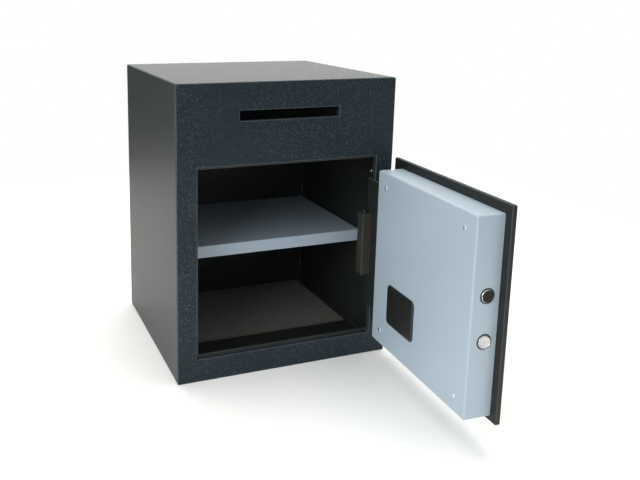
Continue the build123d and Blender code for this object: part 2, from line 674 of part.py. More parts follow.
with BuildPart() as knob_bush:
    rod_along_y(LOCK_X, LOCK_Z, KNOB_BUSH_R, (FRONT_Y, PLATE_BACK + CHASSIS_T))
    rod_along_y(LOCK_X, LOCK_Z, SPINDLE_R + PIN_CLEARANCE,
                (FRONT_Y - OVERCUT, PLATE_BACK + CHASSIS_T + OVERCUT), mode=Mode.SUBTRACT)
save_on_door(knob_bush.part, "knob_bush")

with BuildPart() as knob:
    disc_front = FRONT_Y - KNOB_DISC_T
    grip_reach = KNOB_R - KNOB_GRIP_INSET
    rod_along_y(LOCK_X, LOCK_Z, KNOB_R, (disc_front, FRONT_Y - KNOB_GAP))
    slab((LOCK_X - KNOB_GRIP_HALF_W, LOCK_X + KNOB_GRIP_HALF_W), (KNOB_FRONT, disc_front),
         (LOCK_Z - grip_reach, LOCK_Z + grip_reach))
    fillet(knob.edges().group_by(Axis.Y)[0], radius=KNOB_EDGE_R)
    rod_along_y(LOCK_X, LOCK_Z, SPINDLE_R, (SPINDLE_FRONT, FRONT_Y), mode=Mode.SUBTRACT)
save_on_door(knob.part, "knob")

with BuildPart() as knob_spindle:
    rod_along_y(LOCK_X, LOCK_Z, SPINDLE_R, (SPINDLE_FRONT, CRANK_BACK - CRANK_T))
save_on_door(knob_spindle.part, "knob_spindle")

with BuildPart() as knob_crank:
    rod_along_y(LOCK_X, LOCK_Z, CRANK_R + CRANK_T, (CRANK_BACK - CRANK_T, CRANK_BACK))
    rod_along_y(CRANK_PIN_X, CRANK_PIN_Z, CRANK_PIN_R, (CRANK_BACK, CARRIAGE_Y + CARRIAGE_T + 2))
save_on_door(knob_crank.part, "knob_crank")

# ---- override lock ----

with BuildPart() as override_cylinder:
    collar_front = FRONT_Y - OVERRIDE_PROUD
    cylinder_back = FRONT_Y + OVERRIDE_L
    rod_along_y(OVERRIDE_X, OVERRIDE_Z, OVERRIDE_R, (collar_front, cylinder_back))
    rod_along_y(OVERRIDE_X, OVERRIDE_Z, OVERRIDE_R + OVERRIDE_FLANGE, (collar_front, FRONT_Y))
    fillet(override_cylinder.edges().group_by(Axis.Y)[0], radius=OVERRIDE_EDGE_R)
    rod_along_y(OVERRIDE_X, OVERRIDE_Z, PLUG_R + PIN_CLEARANCE,
                (collar_front - OVERCUT, cylinder_back + OVERCUT), mode=Mode.SUBTRACT)
save_on_door(override_cylinder.part, "override_cylinder")

with BuildPart() as override_plug:
    rod_along_y(OVERRIDE_X, OVERRIDE_Z, PLUG_R, (collar_front, cylinder_back))
    slab((OVERRIDE_X - KEYWAY_W / 2, OVERRIDE_X + KEYWAY_W / 2), (collar_front - OVERCUT, FRONT_Y + KEYWAY_L),
         (OVERRIDE_Z - KEYWAY_H / 2, OVERRIDE_Z + KEYWAY_H / 2), mode=Mode.SUBTRACT)
save_on_door(override_plug.part, "override_plug")

# ---- keypad ----

key_places = [
    (PAD_X + (column - 1) * KEY_PITCH_X, KEYS_Z + (1.5 - row) * KEY_PITCH_Z)
    for row in range(4)
    for column in range(3)
]
lens_places = [PAD_X - LENS_PITCH, PAD_X, PAD_X + LENS_PITCH]
lens_span = (FRONT_Y - PAD_T - LENS_PROUD, FRONT_Y - PAD_T + LENS_DEPTH)

with BuildPart() as keypad_housing:
    with BuildSketch(upright(FRONT_Y)):
        with Locations((PAD_X, PAD_Z)):
            RectangleRounded(PAD_W, PAD_H, PAD_CORNER_R)
    extrude(amount=PAD_T)
    fillet(keypad_housing.faces().sort_by(Axis.Y)[0].edges(), radius=PAD_EDGE_R)
    with BuildSketch(upright(FRONT_Y - PAD_T)):
        with Locations(*key_places):
            Rectangle(KEY_W + 2 * KEY_GAP, KEY_H + 2 * KEY_GAP)
    extrude(amount=-WELL_DEPTH, mode=Mode.SUBTRACT)
    for lens_x in lens_places:
        rod_along_y(lens_x, LENS_Z, LENS_R, lens_span, mode=Mode.SUBTRACT)
save_on_door(keypad_housing.part, "keypad_housing")

with BuildPart() as indicator_lenses:
    for lens_x in lens_places:
        rod_along_y(lens_x, LENS_Z, LENS_R, lens_span)
    fillet(indicator_lenses.edges().filter_by(GeomType.CIRCLE).group_by(Axis.Y)[0], radius=LENS_CROWN)
save_on_door(indicator_lenses.part, "indicator_lenses")

for key_name, (key_x, key_z) in zip(KEY_NAMES, key_places):
    with BuildPart() as key:
        with BuildSketch(upright(KEY_FRONT + KEY_L)):
            with Locations((key_x, key_z)):
                RectangleRounded(KEY_W, KEY_H, KEY_CORNER_R)
        extrude(amount=KEY_L)
        fillet(key.faces().sort_by(Axis.Y)[0].edges(), radius=KEY_EDGE_R)
    save_on_door(key.part, f"key_{key_name}")
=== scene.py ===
"""Looks for the drop box: camera, soft studio light, materials and the detailed pieces."""
import json
import math
import random

import bmesh
import bpy
from mathutils import Matrix, Vector

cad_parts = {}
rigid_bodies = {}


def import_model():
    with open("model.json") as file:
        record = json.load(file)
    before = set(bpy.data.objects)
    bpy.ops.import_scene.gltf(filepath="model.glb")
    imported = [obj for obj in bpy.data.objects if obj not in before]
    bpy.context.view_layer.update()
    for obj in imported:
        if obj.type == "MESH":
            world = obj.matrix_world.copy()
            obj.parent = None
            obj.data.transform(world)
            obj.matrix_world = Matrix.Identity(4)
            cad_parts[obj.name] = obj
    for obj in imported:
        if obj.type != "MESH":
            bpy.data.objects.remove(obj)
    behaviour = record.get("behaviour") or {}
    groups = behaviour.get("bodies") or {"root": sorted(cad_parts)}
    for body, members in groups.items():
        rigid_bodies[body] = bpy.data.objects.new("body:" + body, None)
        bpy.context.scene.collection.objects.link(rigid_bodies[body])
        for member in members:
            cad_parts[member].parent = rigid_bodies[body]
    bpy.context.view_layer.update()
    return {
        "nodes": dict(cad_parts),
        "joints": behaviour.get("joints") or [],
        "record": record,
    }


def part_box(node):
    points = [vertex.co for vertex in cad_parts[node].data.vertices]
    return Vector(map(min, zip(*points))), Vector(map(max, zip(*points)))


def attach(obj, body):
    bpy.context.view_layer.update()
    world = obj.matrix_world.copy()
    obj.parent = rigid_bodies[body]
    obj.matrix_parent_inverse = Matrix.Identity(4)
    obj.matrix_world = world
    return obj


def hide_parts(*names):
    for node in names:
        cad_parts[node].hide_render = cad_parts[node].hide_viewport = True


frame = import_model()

# ---- camera: metres, degrees and millimetres of lens ----
CAMERA_AT = (-0.4447, -1.1423, 0.5658)
CAMERA_YAW = 20.65
CAMERA_PITCH = 11.08
CAMERA_ROLL = -0.57
CAMERA_LENS = 41.69
CAMERA_SENSOR = 36.0
CAMERA_SHIFT = (0.12, -0.15)

# ---- light boxes: name, place, target, size, watts and colour ----
LIGHT_BOXES = (
    ("overhead", (0.3, 0.5, 2.4), (0, 0, 0.2), (2.4, 1.6), 32, (1.0, 1.0, 0.94)),
    ("left_box", (-1.9, -1.4, 1.0), (0.1, -0.3, 0.2), (1.6, 1.6), 30, (0.90, 0.95, 1.0)),
    ("rear_box", (1.3, 3.2, 0.8), (0, 0, 0.45), (2.6, 1.2), 20, (1.0, 1.0, 0.98)),
)

# ---- floor and room; a room tone is how far up, from straight down (0) to up (1), and the light ----
FLOOR_SIZE = 2.4
FLOOR_COLOUR = (0.97, 0.965, 0.94)
FLOOR_ROUGHNESS = 0.9
ROOM_TONES = (
    (0.0, (0.10, 0.11, 0.12)),
    (0.48, (0.10, 0.11, 0.12)),
    (0.54, (0.62, 0.64, 0.66)),
    (0.66, (0.66, 0.68, 0.70)),
    (0.80, (1.0, 1.0, 0.98)),
)

# ---- sizes of the detailed pieces, in metres ----
# Names that end in SHARES hold (share of the radius, share of the height) pairs.
# COVER_LEVELS holds (inset in metres, share of the thickness) pairs.
SCREW_RADIUS = 0.003
SCREW_SHANK_RADIUS = 0.0016
SCREW_SHANK_LENGTH = 0.004
SCREW_DOME_SHARES = ((1, 0), (1, 0.3), (0.86, 0.72), (0.55, 0.94), (0, 1))
SCREW_SLOT = (0.0028, 0.0006, 0.0018)
SCREW_STEPS = 32
BOLT_CHAMFER = 0.0008
BOLT_DISH = 0.0004
BOLT_CENTRE_RADIUS = 0.0012
BOLT_STEPS = 64
COVER_CORNER = 0.008
COVER_LEVELS = ((0, 0), (0, 0.3), (0.0004, 0.5), (0.0026, 0.88), (0.0034, 0.96), (0.0042, 1))
NOTCH_RADIUS = 0.006
NOTCH_HALF_DEPTH = 0.004
NOTCH_BELOW_EDGE = 0.003
NOTCH_ABOVE_FACE = 0.0028
NOTCH_STEPS = 40
CELL_COUNT = 4
CELL_STEPS = 40
CELL_FOOT_BEVEL = 0.0012
CELL_SEAM_SHARE = 0.66
CELL_TOP_SHARES = ((1, 0.93), (0.9, 0.955), (0.4, 0.96), (0.38, 1), (0, 1))
KNOB_RIBS = 60
KNOB_RIB_DEPTH = 0.0006
KNOB_SKIRT_SHARE = 0.3
KNOB_BASE_BEVEL = 0.0008
GRIP_WIDTH = 0.012
GRIP_CORNER = 0.0055
GRIP_SINK = 0.001
POINTER_SIZE = (0.0012, 0.012)
POINTER_CORNER = 0.0005
POINTER_SINK = 0.0006
POINTER_PROUD = 0.0002
MARK_FONT_SIZE = 0.0088
MARK_DEPTH = 0.00015
FELT_COLUMNS = 132
FELT_ROWS = 80
FELT_EDGE_DROPS = (0.0011, 0.0004, 0.0001)
FELT_FUZZ = 0.0003
FELT_WAVE = 0.0002
FELT_WAVE_TURNS = (0.21, 0.17)
FELT_EDGE_WANDER = 0.0005
WELD_HEIGHTS = (0.03, 0.19)
WELD_LENGTH = 0.02
WELD_LEG = 0.0026
WELD_RIPPLES = 16
WELD_ARC_STEPS = 6

# ---- mesh making ----
SHARP_ANGLE = 35
MERGE_DISTANCE = 1e-7
SMALLEST_CORNER = 0.0005
FELT_SEED = 11
WELD_SEED = 5

# ---- worn edges and painted edge highlights: the cosine of the bend at which the paler edge colour starts, and at which it is full ----
WEAR_AND_HIGHLIGHT_STARTS = 0.98
WEAR_AND_HIGHLIGHT_FULL = 0.75

# ---- the colour sockets of a Mix node: their names repeat for each kind of data ----
MIX_FIRST = 6
MIX_SECOND = 7
MIX_RESULT = 2

# ---- the door's own space: as it stands when shut, which is how its pieces are laid out ----
JOINTS = {joint["name"]: joint for joint in frame["joints"]}
HINGE_AT = Vector(JOINTS["door_hinge"]["pos_m"])
DOOR_SWING = math.radians(-JOINTS["door_hinge"]["range_deg"][0])
SHUT_TO_REST = (
    Matrix.Translation(HINGE_AT) @ Matrix.Rotation(DOOR_SWING, 4, "Z") @ Matrix.Translation(-HINGE_AT)
)
REST_TO_SHUT = SHUT_TO_REST.inverted()
OUTWARD = Matrix.Rotation(math.radians(90), 4, "X")
INWARD = Matrix.Rotation(math.radians(-90), 4, "X")
TO_LATCH = Matrix.Rotation(math.radians(-90), 4, "Y")


def shut_box(node):
    """Lowest and highest corner of a door node, measured with the door shut."""
    points = [REST_TO_SHUT @ vertex.co for vertex in frame["nodes"][node].data.vertices]
    low = Vector([min(point[axis] for point in points) for axis in range(3)])
    high = Vector([max(point[axis] for point in points) for axis in range(3)])
    return low, high


# ================= camera, light and floor =================

def add_camera():
    """The camera stands left of the front and looks slightly down."""
    camera = bpy.data.objects.new("camera", bpy.data.cameras.new("camera"))
    bpy.context.scene.collection.objects.link(camera)
    tilt = Matrix.Rotation(math.radians(90 - CAMERA_PITCH), 4, "X")
    turn = Matrix.Rotation(math.radians(-CAMERA_YAW), 4, "Z")
    roll = Matrix.Rotation(math.radians(-CAMERA_ROLL), 4, "Z")
    camera.matrix_world = Matrix.Translation(CAMERA_AT) @ turn @ tilt @ roll
    camera.data.lens = CAMERA_LENS
    camera.data.sensor_width = CAMERA_SENSOR
    camera.data.shift_x, camera.data.shift_y = CAMERA_SHIFT
    bpy.context.scene.camera = camera


def add_light_box(name, at, target, size, watts, colour):
    """A soft box that faces its target."""
    data = bpy.data.lights.new(name, "AREA")
    data.shape = "RECTANGLE"
    data.size, data.size_y = size
    data.energy = watts
    data.color = colour
    light = bpy.data.objects.new(name, data)
    bpy.context.scene.collection.objects.link(light)
    light.location = at
    light.rotation_euler = (Vector(target) - Vector(at)).to_track_quat("-Z", "Y").to_euler()


def add_room():
    """White behind the object; as light, dark below the horizon, grey at it and bright overhead."""
    world = bpy.data.worlds.new("room")
    world.use_nodes = True
    tree = world.node_tree
    backdrop = tree.nodes["Background"]
    backdrop.inputs["Color"].default_value = (1.0, 1.0, 1.0, 1)
    sky = tree.nodes.new("ShaderNodeBackground")
    ramp = tree.nodes.new("ShaderNodeValToRGB")
    stops = ramp.color_ramp.elements
    for stop, (position, colour) in zip(stops, (ROOM_TONES[0], ROOM_TONES[-1])):
        stop.position = position
        stop.color = (*colour, 1)
    for position, colour in ROOM_TONES[1:-1]:
        stops.new(position).color = (*colour, 1)
    height = tree.nodes.new("ShaderNodeSeparateXYZ")
    share = tree.nodes.new("ShaderNodeMapRange")
    share.inputs["From Min"].default_value = -1.0
    path = tree.nodes.new("ShaderNodeLightPath")
    choice = tree.nodes.new("ShaderNodeMixShader")
    tree.links.new(tree.nodes.new("ShaderNodeTexCoord").outputs["Generated"], height.inputs["Vector"])
    tree.links.new(height.outputs["Z"], share.inputs["Value"])
    tree.links.new(share.outputs["Result"], ramp.inputs["Fac"])
    tree.links.new(ramp.outputs["Color"], sky.inputs["Color"])
    tree.links.new(path.outputs["Is Camera Ray"], choice.inputs["Fac"])
    tree.links.new(sky.outputs["Background"], choice.inputs[1])
    tree.links.new(backdrop.outputs["Background"], choice.inputs[2])
    tree.links.new(choice.outputs["Shader"], tree.nodes["World Output"].inputs["Surface"])
    bpy.context.scene.world = world
    bpy.context.scene.view_settings.view_transform = "Standard"


def add_studio():
    """The light boxes and a pale floor."""
    for light_box in LIGHT_BOXES:
        add_light_box(*light_box)
    bpy.ops.mesh.primitive_plane_add(size=FLOOR_SIZE, location=(0, 0, 0))
    floor = bpy.context.object
    floor.name = "floor"
    paper = bpy.data.materials.new("floor_paper")
    paper.use_nodes = True
    shader = paper.node_tree.nodes["Principled BSDF"]
    shader.inputs["Base Color"].default_value = (*FLOOR_COLOUR, 1)
    shader.inputs["Roughness"].default_value = FLOOR_ROUGHNESS
    floor.data.materials.append(paper)


# ================= materials =================

def shade(colour, share):
    """A colour with every channel scaled."""
    return tuple(channel * share for channel in colour)


class Surface:
    """A Principled material and the few node calls that the materials below share."""

    def __init__(self, name, roughness=0.5, metallic=0.0):
        self.material = bpy.data.materials.new(name)
        self.material.use_nodes = True
        self.tree = self.material.node_tree
        self.shader = self.tree.nodes["Principled BSDF"]
        self.place = self.tree.nodes.new("ShaderNodeTexCoord").outputs["Object"]
        self.set("Roughness", roughness)
        self.set("Metallic", metallic)

    def set(self, name, value):
        """Gives one of the shader's sockets a constant value."""
        self.shader.inputs[name].default_value = value

    def link(self, source, socket):
        """Joins an output socket to an input socket."""
        self.tree.links.new(source, socket)

    def feed(self, source, name):
        """Drives one of the shader's sockets."""
        self.link(source, self.shader.inputs[name])

    def noise(self, scale, detail=2.0, stretch=None):
        """Noise in the object's own space, about scale bumps to a metre; stretch makes streaks."""
        node = self.tree.nodes.new("ShaderNodeTexNoise")
        node.inputs["Scale"].default_value = scale
        node.inputs["Detail"].default_value = detail
        place = self.place
        if stretch is not None:
            mapping = self.tree.nodes.new("ShaderNodeMapping")
            mapping.inputs["Scale"].default_value = stretch
            self.link(place, mapping.inputs["Vector"])
            place = mapping.outputs["Vector"]
        self.link(place, node.inputs["Vector"])
        return node.outputs["Fac"]

    def spots(self, scale):
        """Distance to the nearest of many scattered points."""
        node = self.tree.nodes.new("ShaderNodeTexVoronoi")
        node.inputs["Scale"].default_value = scale
        self.link(self.place, node.inputs["Vector"])
        return node.outputs["Distance"]

    def remap(self, source, low, high, to_low=0.0, to_high=1.0):
        """Stretches a range of values to another one, held at its ends."""
        node = self.tree.nodes.new("ShaderNodeMapRange")
        node.inputs["From Min"].default_value = low
        node.inputs["From Max"].default_value = high
        node.inputs["To Min"].default_value = to_low
        node.inputs["To Max"].default_value = to_high
        self.link(source, node.inputs["Value"])
        return node.outputs["Result"]

    def times(self, first, second):
        """Multiplies two values."""
        node = self.tree.nodes.new("ShaderNodeMath")
        node.operation = "MULTIPLY"
        self.link(first, node.inputs[0])
        self.link(second, node.inputs[1])
        return node.outputs["Value"]

    def mix(self, amount, first, second):
        """Mixes two colours, each a tuple or a socket."""
        node = self.tree.nodes.new("ShaderNodeMix")
        node.data_type = "RGBA"
        self.link(amount, node.inputs["Factor"])
        for value, socket in ((first, node.inputs[MIX_FIRST]), (second, node.inputs[MIX_SECOND])):
            if isinstance(value, tuple):
                socket.default_value = (*value, 1)
            else:
                self.link(value, socket)
        return node.outputs[MIX_RESULT]

    def edges(self, radius):
        """1 on sharp edges and corners, 0 on flat faces."""
        bevel = self.tree.nodes.new("ShaderNodeBevel")
        bevel.samples = 4
        bevel.inputs["Radius"].default_value = radius
        geometry = self.tree.nodes.new("ShaderNodeNewGeometry")
        dot = self.tree.nodes.new("ShaderNodeVectorMath")
        dot.operation = "DOT_PRODUCT"
        self.link(bevel.outputs["Normal"], dot.inputs[0])
        self.link(geometry.outputs["Normal"], dot.inputs[1])
        return self.remap(dot.outputs["Value"], WEAR_AND_HIGHLIGHT_STARTS, WEAR_AND_HIGHLIGHT_FULL)

    def bump(self, height, distance, strength):
        """Raises the surface where the height is high, by up to distance metres."""
        node = self.tree.nodes.new("ShaderNodeBump")
        node.inputs["Distance"].default_value = distance
        node.inputs["Strength"].default_value = strength
        self.link(height, node.inputs["Height"])
        self.feed(node.outputs["Normal"], "Normal")


def powder_coat(name, base, fleck, edge, grain, fleck_share, gloss, shine):
    """Fine-textured powder coat: an orange-peel grain, paler flecks, uneven tone and paler edges, partly wear
    and partly a painted highlight.
    """
    surface = Surface(name)
    surface.set("Specular IOR Level", shine)
    peel = surface.noise(grain, 3.0)
    patches = surface.remap(surface.noise(9.0, 2.0), 0.35, 0.65, 0.35, 1.0)
    specks = surface.remap(surface.noise(grain * 0.8, 1.0), 0.59, 0.7, 0.0, fleck_share)
    tone = surface.remap(surface.noise(6.0, 3.0), 0.3, 0.7)
    colour = surface.mix(tone, shade(base, 0.82), base)
    colour = surface.mix(surface.times(specks, patches), colour, fleck)
    # Paler edges: partly wear, partly a painted highlight where rounded edges catch the light.
    colour = surface.mix(surface.edges(0.0022), colour, edge)
    surface.feed(colour, "Base Color")
    surface.feed(surface.remap(peel, 0.3, 0.7, gloss - 0.08, gloss + 0.1), "Roughness")
    surface.bump(peel, 0.0006, 0.6)
    return surface.material


def satin_paint(name, base, edge):
    """Smooth satin paint with a faint orange peel, soft tone changes and handling marks."""
    surface = Surface(name)
    tone = surface.remap(surface.noise(5.0, 2.0), 0.3, 0.7)
    marks = surface.remap(surface.noise(30.0, 6.0, (1.0, 1.0, 4.0)), 0.62, 0.8, 0.0, 0.25)
    colour = surface.mix(tone, shade(base, 0.93), base)
    colour = surface.mix(marks, colour, shade(base, 0.8))
    colour = surface.mix(surface.edges(0.001), colour, edge)
    surface.feed(colour, "Base Color")
    surface.feed(surface.remap(surface.noise(60.0, 4.0), 0.3, 0.7, 0.34, 0.46), "Roughness")
    surface.bump(surface.noise(500.0, 2.0), 0.0001, 0.35)
    return surface.material


def bare_metal(name, base, roughness, streak):
    """Metal with fine streaks along one direction and a little tarnish."""
    surface = Surface(name, roughness, 1.0)
    lines = surface.noise(400.0, 3.0, streak)
    tarnish = surface.remap(surface.noise(60.0, 4.0), 0.5, 0.75)
    surface.feed(surface.mix(tarnish, base, shade(base, 0.72)), "Base Color")
    surface.feed(surface.remap(lines, 0.3, 0.7, roughness * 0.7, roughness * 1.35), "Roughness")
    surface.bump(lines, 0.00008, 0.4)
    return surface.material


def moulded_plastic(name, base, roughness, grain=1500.0):
    """Moulded plastic with a spark-eroded grain and slightly rubbed edges."""
    surface = Surface(name, roughness)
    texture = surface.noise(grain, 2.0)
    worn = tuple(min(1.0, channel * 1.9 + 0.02) for channel in base)
    surface.feed(surface.mix(surface.edges(0.0008), base, worn), "Base Color")
    surface.feed(surface.remap(texture, 0.3, 0.7, roughness - 0.07, roughness + 0.09), "Roughness")
    surface.bump(texture, 0.00012, 0.4)
    return surface.material


def needle_felt(name, dark, light, brown):
    """Dense needle-punched felt: tangled fibres, browned patches, pale lint and a soft sheen."""
    surface = Surface(name, 0.95)
    surface.set("Sheen Weight", 0.14)
    surface.set("Sheen Roughness", 0.6)
    surface.set("Specular IOR Level", 0.15)
    fibres = surface.noise(900.0, 6.0)
    clumps = surface.remap(surface.noise(110.0, 5.0), 0.42, 0.6, 0.0, 0.5)
    browned = surface.remap(surface.noise(5.0, 2.0), 0.42, 0.6, 0.0, 0.6)
    lint_places = surface.remap(surface.noise(25.0, 3.0), 0.46, 0.56)
    lint_specks = surface.remap(surface.spots(130.0), 0.2, 0.1, 0.0, 0.6)
    colour = surface.mix(surface.remap(fibres, 0.35, 0.7), dark, light)
    colour = surface.mix(clumps, colour, dark)
    colour = surface.mix(browned, colour, brown)
    colour = surface.mix(surface.times(lint_specks, lint_places), colour, shade(light, 2.0))
    surface.feed(colour, "Base Color")
    surface.bump(fibres, 0.0012, 0.9)
    return surface.material


def lamp_lens(name, base):
    """A small clear lens, with depth in its colour."""
    surface = Surface(name, 0.12)
    surface.set("Coat Weight", 0.8)
    depth = surface.remap(surface.noise(800.0), 0.3, 0.7)
    surface.feed(surface.mix(depth, base, shade(base, 0.6)), "Base Color")
    return surface.material


# In the powder coats, edge is a paler colour for worn edges and also a painted highlight along rounded edges;
# the front's and the door's are set to bright edge lines.
MATERIALS = {
    "body_paint": powder_coat(
        "body_paint", base=(0.016, 0.019, 0.018), fleck=(0.055, 0.06, 0.055), edge=(0.13, 0.13, 0.12),
        grain=720.0, fleck_share=0.6, gloss=0.42, shine=0.4,
    ),
    "front_paint": powder_coat(
        "front_paint", base=(0.010, 0.019, 0.026), fleck=(0.085, 0.11, 0.125), edge=(0.2, 0.22, 0.22),
        grain=720.0, fleck_share=0.8, gloss=0.5, shine=0.26,
    ),
    "door_paint": powder_coat(
        "door_paint", base=(0.012, 0.014, 0.014), fleck=(0.05, 0.055, 0.055), edge=(0.13, 0.125, 0.115),
        grain=720.0, fleck_share=0.5, gloss=0.5, shine=0.35,
    ),
    "block_steel": powder_coat(
        "block_steel", base=(0.032, 0.033, 0.024), fleck=(0.06, 0.058, 0.045), edge=(0.08, 0.075, 0.06),
        grain=900.0, fleck_share=0.3, gloss=0.55, shine=0.4,
    ),
    "liner_paint": satin_paint("liner_paint", base=(0.385, 0.465, 0.53), edge=(0.5, 0.56, 0.6)),
    "bare_steel": bare_metal("bare_steel", (0.5, 0.5, 0.49), roughness=0.35, streak=(1.0, 1.0, 0.05)),
    "bolt_chrome": bare_metal(
        "bolt_chrome", (0.55, 0.56, 0.55), roughness=0.2, streak=(1.0, 0.15, 0.15),
    ),
    "bearing_brass": bare_metal(
        "bearing_brass", (0.62, 0.46, 0.2), roughness=0.28, streak=(1.0, 1.0, 0.1),
    ),
    "black_plastic": moulded_plastic("black_plastic", (0.012, 0.013, 0.012), roughness=0.42),
    "key_plastic": moulded_plastic("key_plastic", (0.06, 0.062, 0.066), roughness=0.5),
    "cell_wrap": moulded_plastic("cell_wrap", (0.03, 0.03, 0.034), roughness=0.25, grain=300.0),
    "board": moulded_plastic("board", (0.02, 0.11, 0.045), roughness=0.35, grain=500.0),
    "lens": lamp_lens("lens", (0.35, 0.03, 0.02)),
    "felt": needle_felt(
        "felt", dark=(0.05, 0.052, 0.056), light=(0.18, 0.184, 0.184), brown=(0.09, 0.082, 0.042),
    ),
}
SCREW_STEEL = bare_metal("screw_steel", (0.86, 0.88, 0.89), roughness=0.3, streak=(1.0, 1.0, 0.3))
# A black metal for the upper bolt's dish: a painted dark reflection.
DARK_REFLECTION_STEEL = bare_metal("dark_reflection_steel", (0.035, 0.036, 0.034), roughness=0.35, streak=(1.0, 1.0, 1.0))
CELL_BAND = bare_metal("cell_band", (0.7, 0.42, 0.22), roughness=0.3, streak=(1.0, 1.0, 0.2))
GLYPH_PAINT = moulded_plastic("glyph_paint", (0.7, 0.7, 0.68), roughness=0.5)


def paint_cad_nodes():
    """Gives every CAD node the material of its slot in the record."""
    for part in frame["record"]["subparts"]:
        mesh = frame["nodes"][part["node"]].data
        mesh.materials.clear()
        mesh.materials.append(MATERIALS[part["material_slot"]])


# ================= mesh helpers =================

def finish_piece(name, shape, matrix, body, slot, material=None, smooth=True):
    """Turns a bmesh into a piece that rides on a body and takes a slot's finish."""
    bmesh.ops.recalc_face_normals(shape, faces=shape.faces)
    mesh = bpy.data.meshes.new(name)
    shape.to_mesh(mesh)
    shape.free()
    mesh.transform(matrix)
    mesh.materials.append(material or MATERIALS[slot])
    if smooth:
        mesh.shade_smooth()
        mesh.set_sharp_from_angle(angle=math.radians(SHARP_ANGLE))
    piece = bpy.data.objects.new(name, mesh)
    bpy.context.scene.collection.objects.link(piece)
    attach(piece, body)
    return piece


def lathe(profile, steps, ribs=0, rib_depth=0.0):
    """Turns (radius, height) points about Z; ribs press a wavy edge into the widest part."""
    shape = bmesh.new()
    widest = max(radius for radius, _ in profile)
    rings = []
    for radius, height in profile:
        if radius == 0:
            rings.append([shape.verts.new((0, 0, height))])
            continue
        ring = []
        for step in range(steps):
            angle = 2 * math.pi * step / steps
            wave = rib_depth * (0.5 + 0.5 * math.cos(ribs * angle)) if radius > 0.9 * widest else 0
            reach = radius - wave
            ring.append(shape.verts.new((reach * math.cos(angle), reach * math.sin(angle), height)))
        rings.append(ring)
    for lower, upper in zip(rings, rings[1:]):
        for step in range(steps):
            following = (step + 1) % steps
            corners = [
                lower[step % len(lower)], lower[following % len(lower)],
                upper[following % len(upper)], upper[step % len(upper)],
            ]
            shape.faces.new(list(dict.fromkeys(corners)))
    return shape


def rounded_outline(width, height, radius, steps=8):
    """Corner points of a rounded rectangle about the origin, anticlockwise."""
    points = []
    for corner, (sign_x, sign_y) in enumerate(((1, 1), (-1, 1), (-1, -1), (1, -1))):
        centre_x = sign_x * (width / 2 - radius)
        centre_y = sign_y * (height / 2 - radius)
        for step in range(steps + 1):
            angle = math.radians(90 * corner + 90 * step / steps)
            points.append((centre_x + radius * math.cos(angle), centre_y + radius * math.sin(angle)))
    return points


def skin(shape, rings):
    """Closes a stack of equal rings with side faces and a face at each end."""
    count = len(rings[0])
    for lower, upper in zip(rings, rings[1:]):
        for step in range(count):
            following = (step + 1) % count
            shape.faces.new([lower[step], lower[following], upper[following], upper[step]])
    shape.faces.new(rings[0])
    shape.faces.new(rings[-1])


def stacked_pad(width, height, radius, levels):
    """A rounded-rectangle pad from (inset, height) levels, closed at both ends."""
    shape = bmesh.new()
    rings = []
    for inset, level in levels:
        corner = max(radius - inset, SMALLEST_CORNER)
        outline = rounded_outline(width - 2 * inset, height - 2 * inset, corner)
        rings.append([shape.verts.new((x, y, level)) for x, y in outline])
    skin(shape, rings)
    return shape


def cut(shape, cutters):
    """Subtracts other bmeshes from a bmesh, and returns the result as a bmesh."""
    scene = bpy.context.scene.collection.objects
    holder = bpy.data.objects.new("cut_body", bpy.data.meshes.new("cut_body"))
    bmesh.ops.recalc_face_normals(shape, faces=shape.faces)
    shape.to_mesh(holder.data)
    shape.free()
    scene.link(holder)
    tools = []
    for cutter in cutters:
        tool = bpy.data.objects.new("cut_tool", bpy.data.meshes.new("cut_tool"))
        bmesh.ops.recalc_face_normals(cutter, faces=cutter.faces)
        cutter.to_mesh(tool.data)
        cutter.free()
        scene.link(tool)
        modifier = holder.modifiers.new("cut", "BOOLEAN")
        modifier.object = tool
        modifier.operation = "DIFFERENCE"
        modifier.solver = "EXACT"
        tools.append(tool)
    bpy.context.view_layer.update()
    result = bmesh.new()
    evaluated = holder.evaluated_get(bpy.context.evaluated_depsgraph_get())
    result.from_mesh(evaluated.to_mesh())
    for spare in (holder, *tools):
        bpy.data.objects.remove(spare)
    return result


def brick(size, at, turn):
    """A box for cutting with."""
    shape = bmesh.new()
    place = Matrix.Translation(at) @ Matrix.Rotation(turn, 4, "Z") @ Matrix.Diagonal((*size, 1))
    bmesh.ops.create_cube(shape, size=1.0, matrix=place)
    return shape


# ================= detailed pieces =================

def add_liner_screws():
    """Four pan-head screws with a cross recess in the liner's face."""
    low, high = shut_box("liner_screws")
    face = shut_box("door_liner")[1].y
    height = high.y - face
    shank = [
        (0, -SCREW_SHANK_LENGTH),
        (SCREW_SHANK_RADIUS, -SCREW_SHANK_LENGTH),
        (SCREW_SHANK_RADIUS, 0),
    ]
    dome = [(SCREW_RADIUS * across, height * up) for across, up in SCREW_DOME_SHARES]
    for column, x in enumerate((low.x + SCREW_RADIUS, high.x - SCREW_RADIUS)):
        for row, z in enumerate((low.z + SCREW_RADIUS, high.z - SCREW_RADIUS)):
            # No two screws stop at the same angle.
            turn = 0.4 + 0.9 * column + 0.5 * row
            slots = [brick(SCREW_SLOT, (0, 0, height), turn + quarter) for quarter in (0, math.pi / 2)]
            place = SHUT_TO_REST @ Matrix.Translation((x, face, z)) @ INWARD
            head = cut(lathe(shank + dome, SCREW_STEPS), slots)
            name = f"liner_screw_{column}_{row}"
            piece = finish_piece(name, head, place, "door", "bolt_chrome", SCREW_STEEL)
            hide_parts("liner_screws")


def blacken_end(bolt, axis, radius, end_x):
    """Gives the faces at a bolt's end, inside its rim, a black colour: a painted dark reflection."""
    bolt.data.materials.append(DARK_REFLECTION_STEEL)
    for face in bolt.data.polygons:
        spot = REST_TO_SHUT @ face.center
        at_end = spot.x < end_x + 3 * BOLT_DISH
        inside_rim = (Vector(spot.yz) - axis).length < radius - BOLT_CHAMFER
        face.material_index = int(at_end and inside_rim)


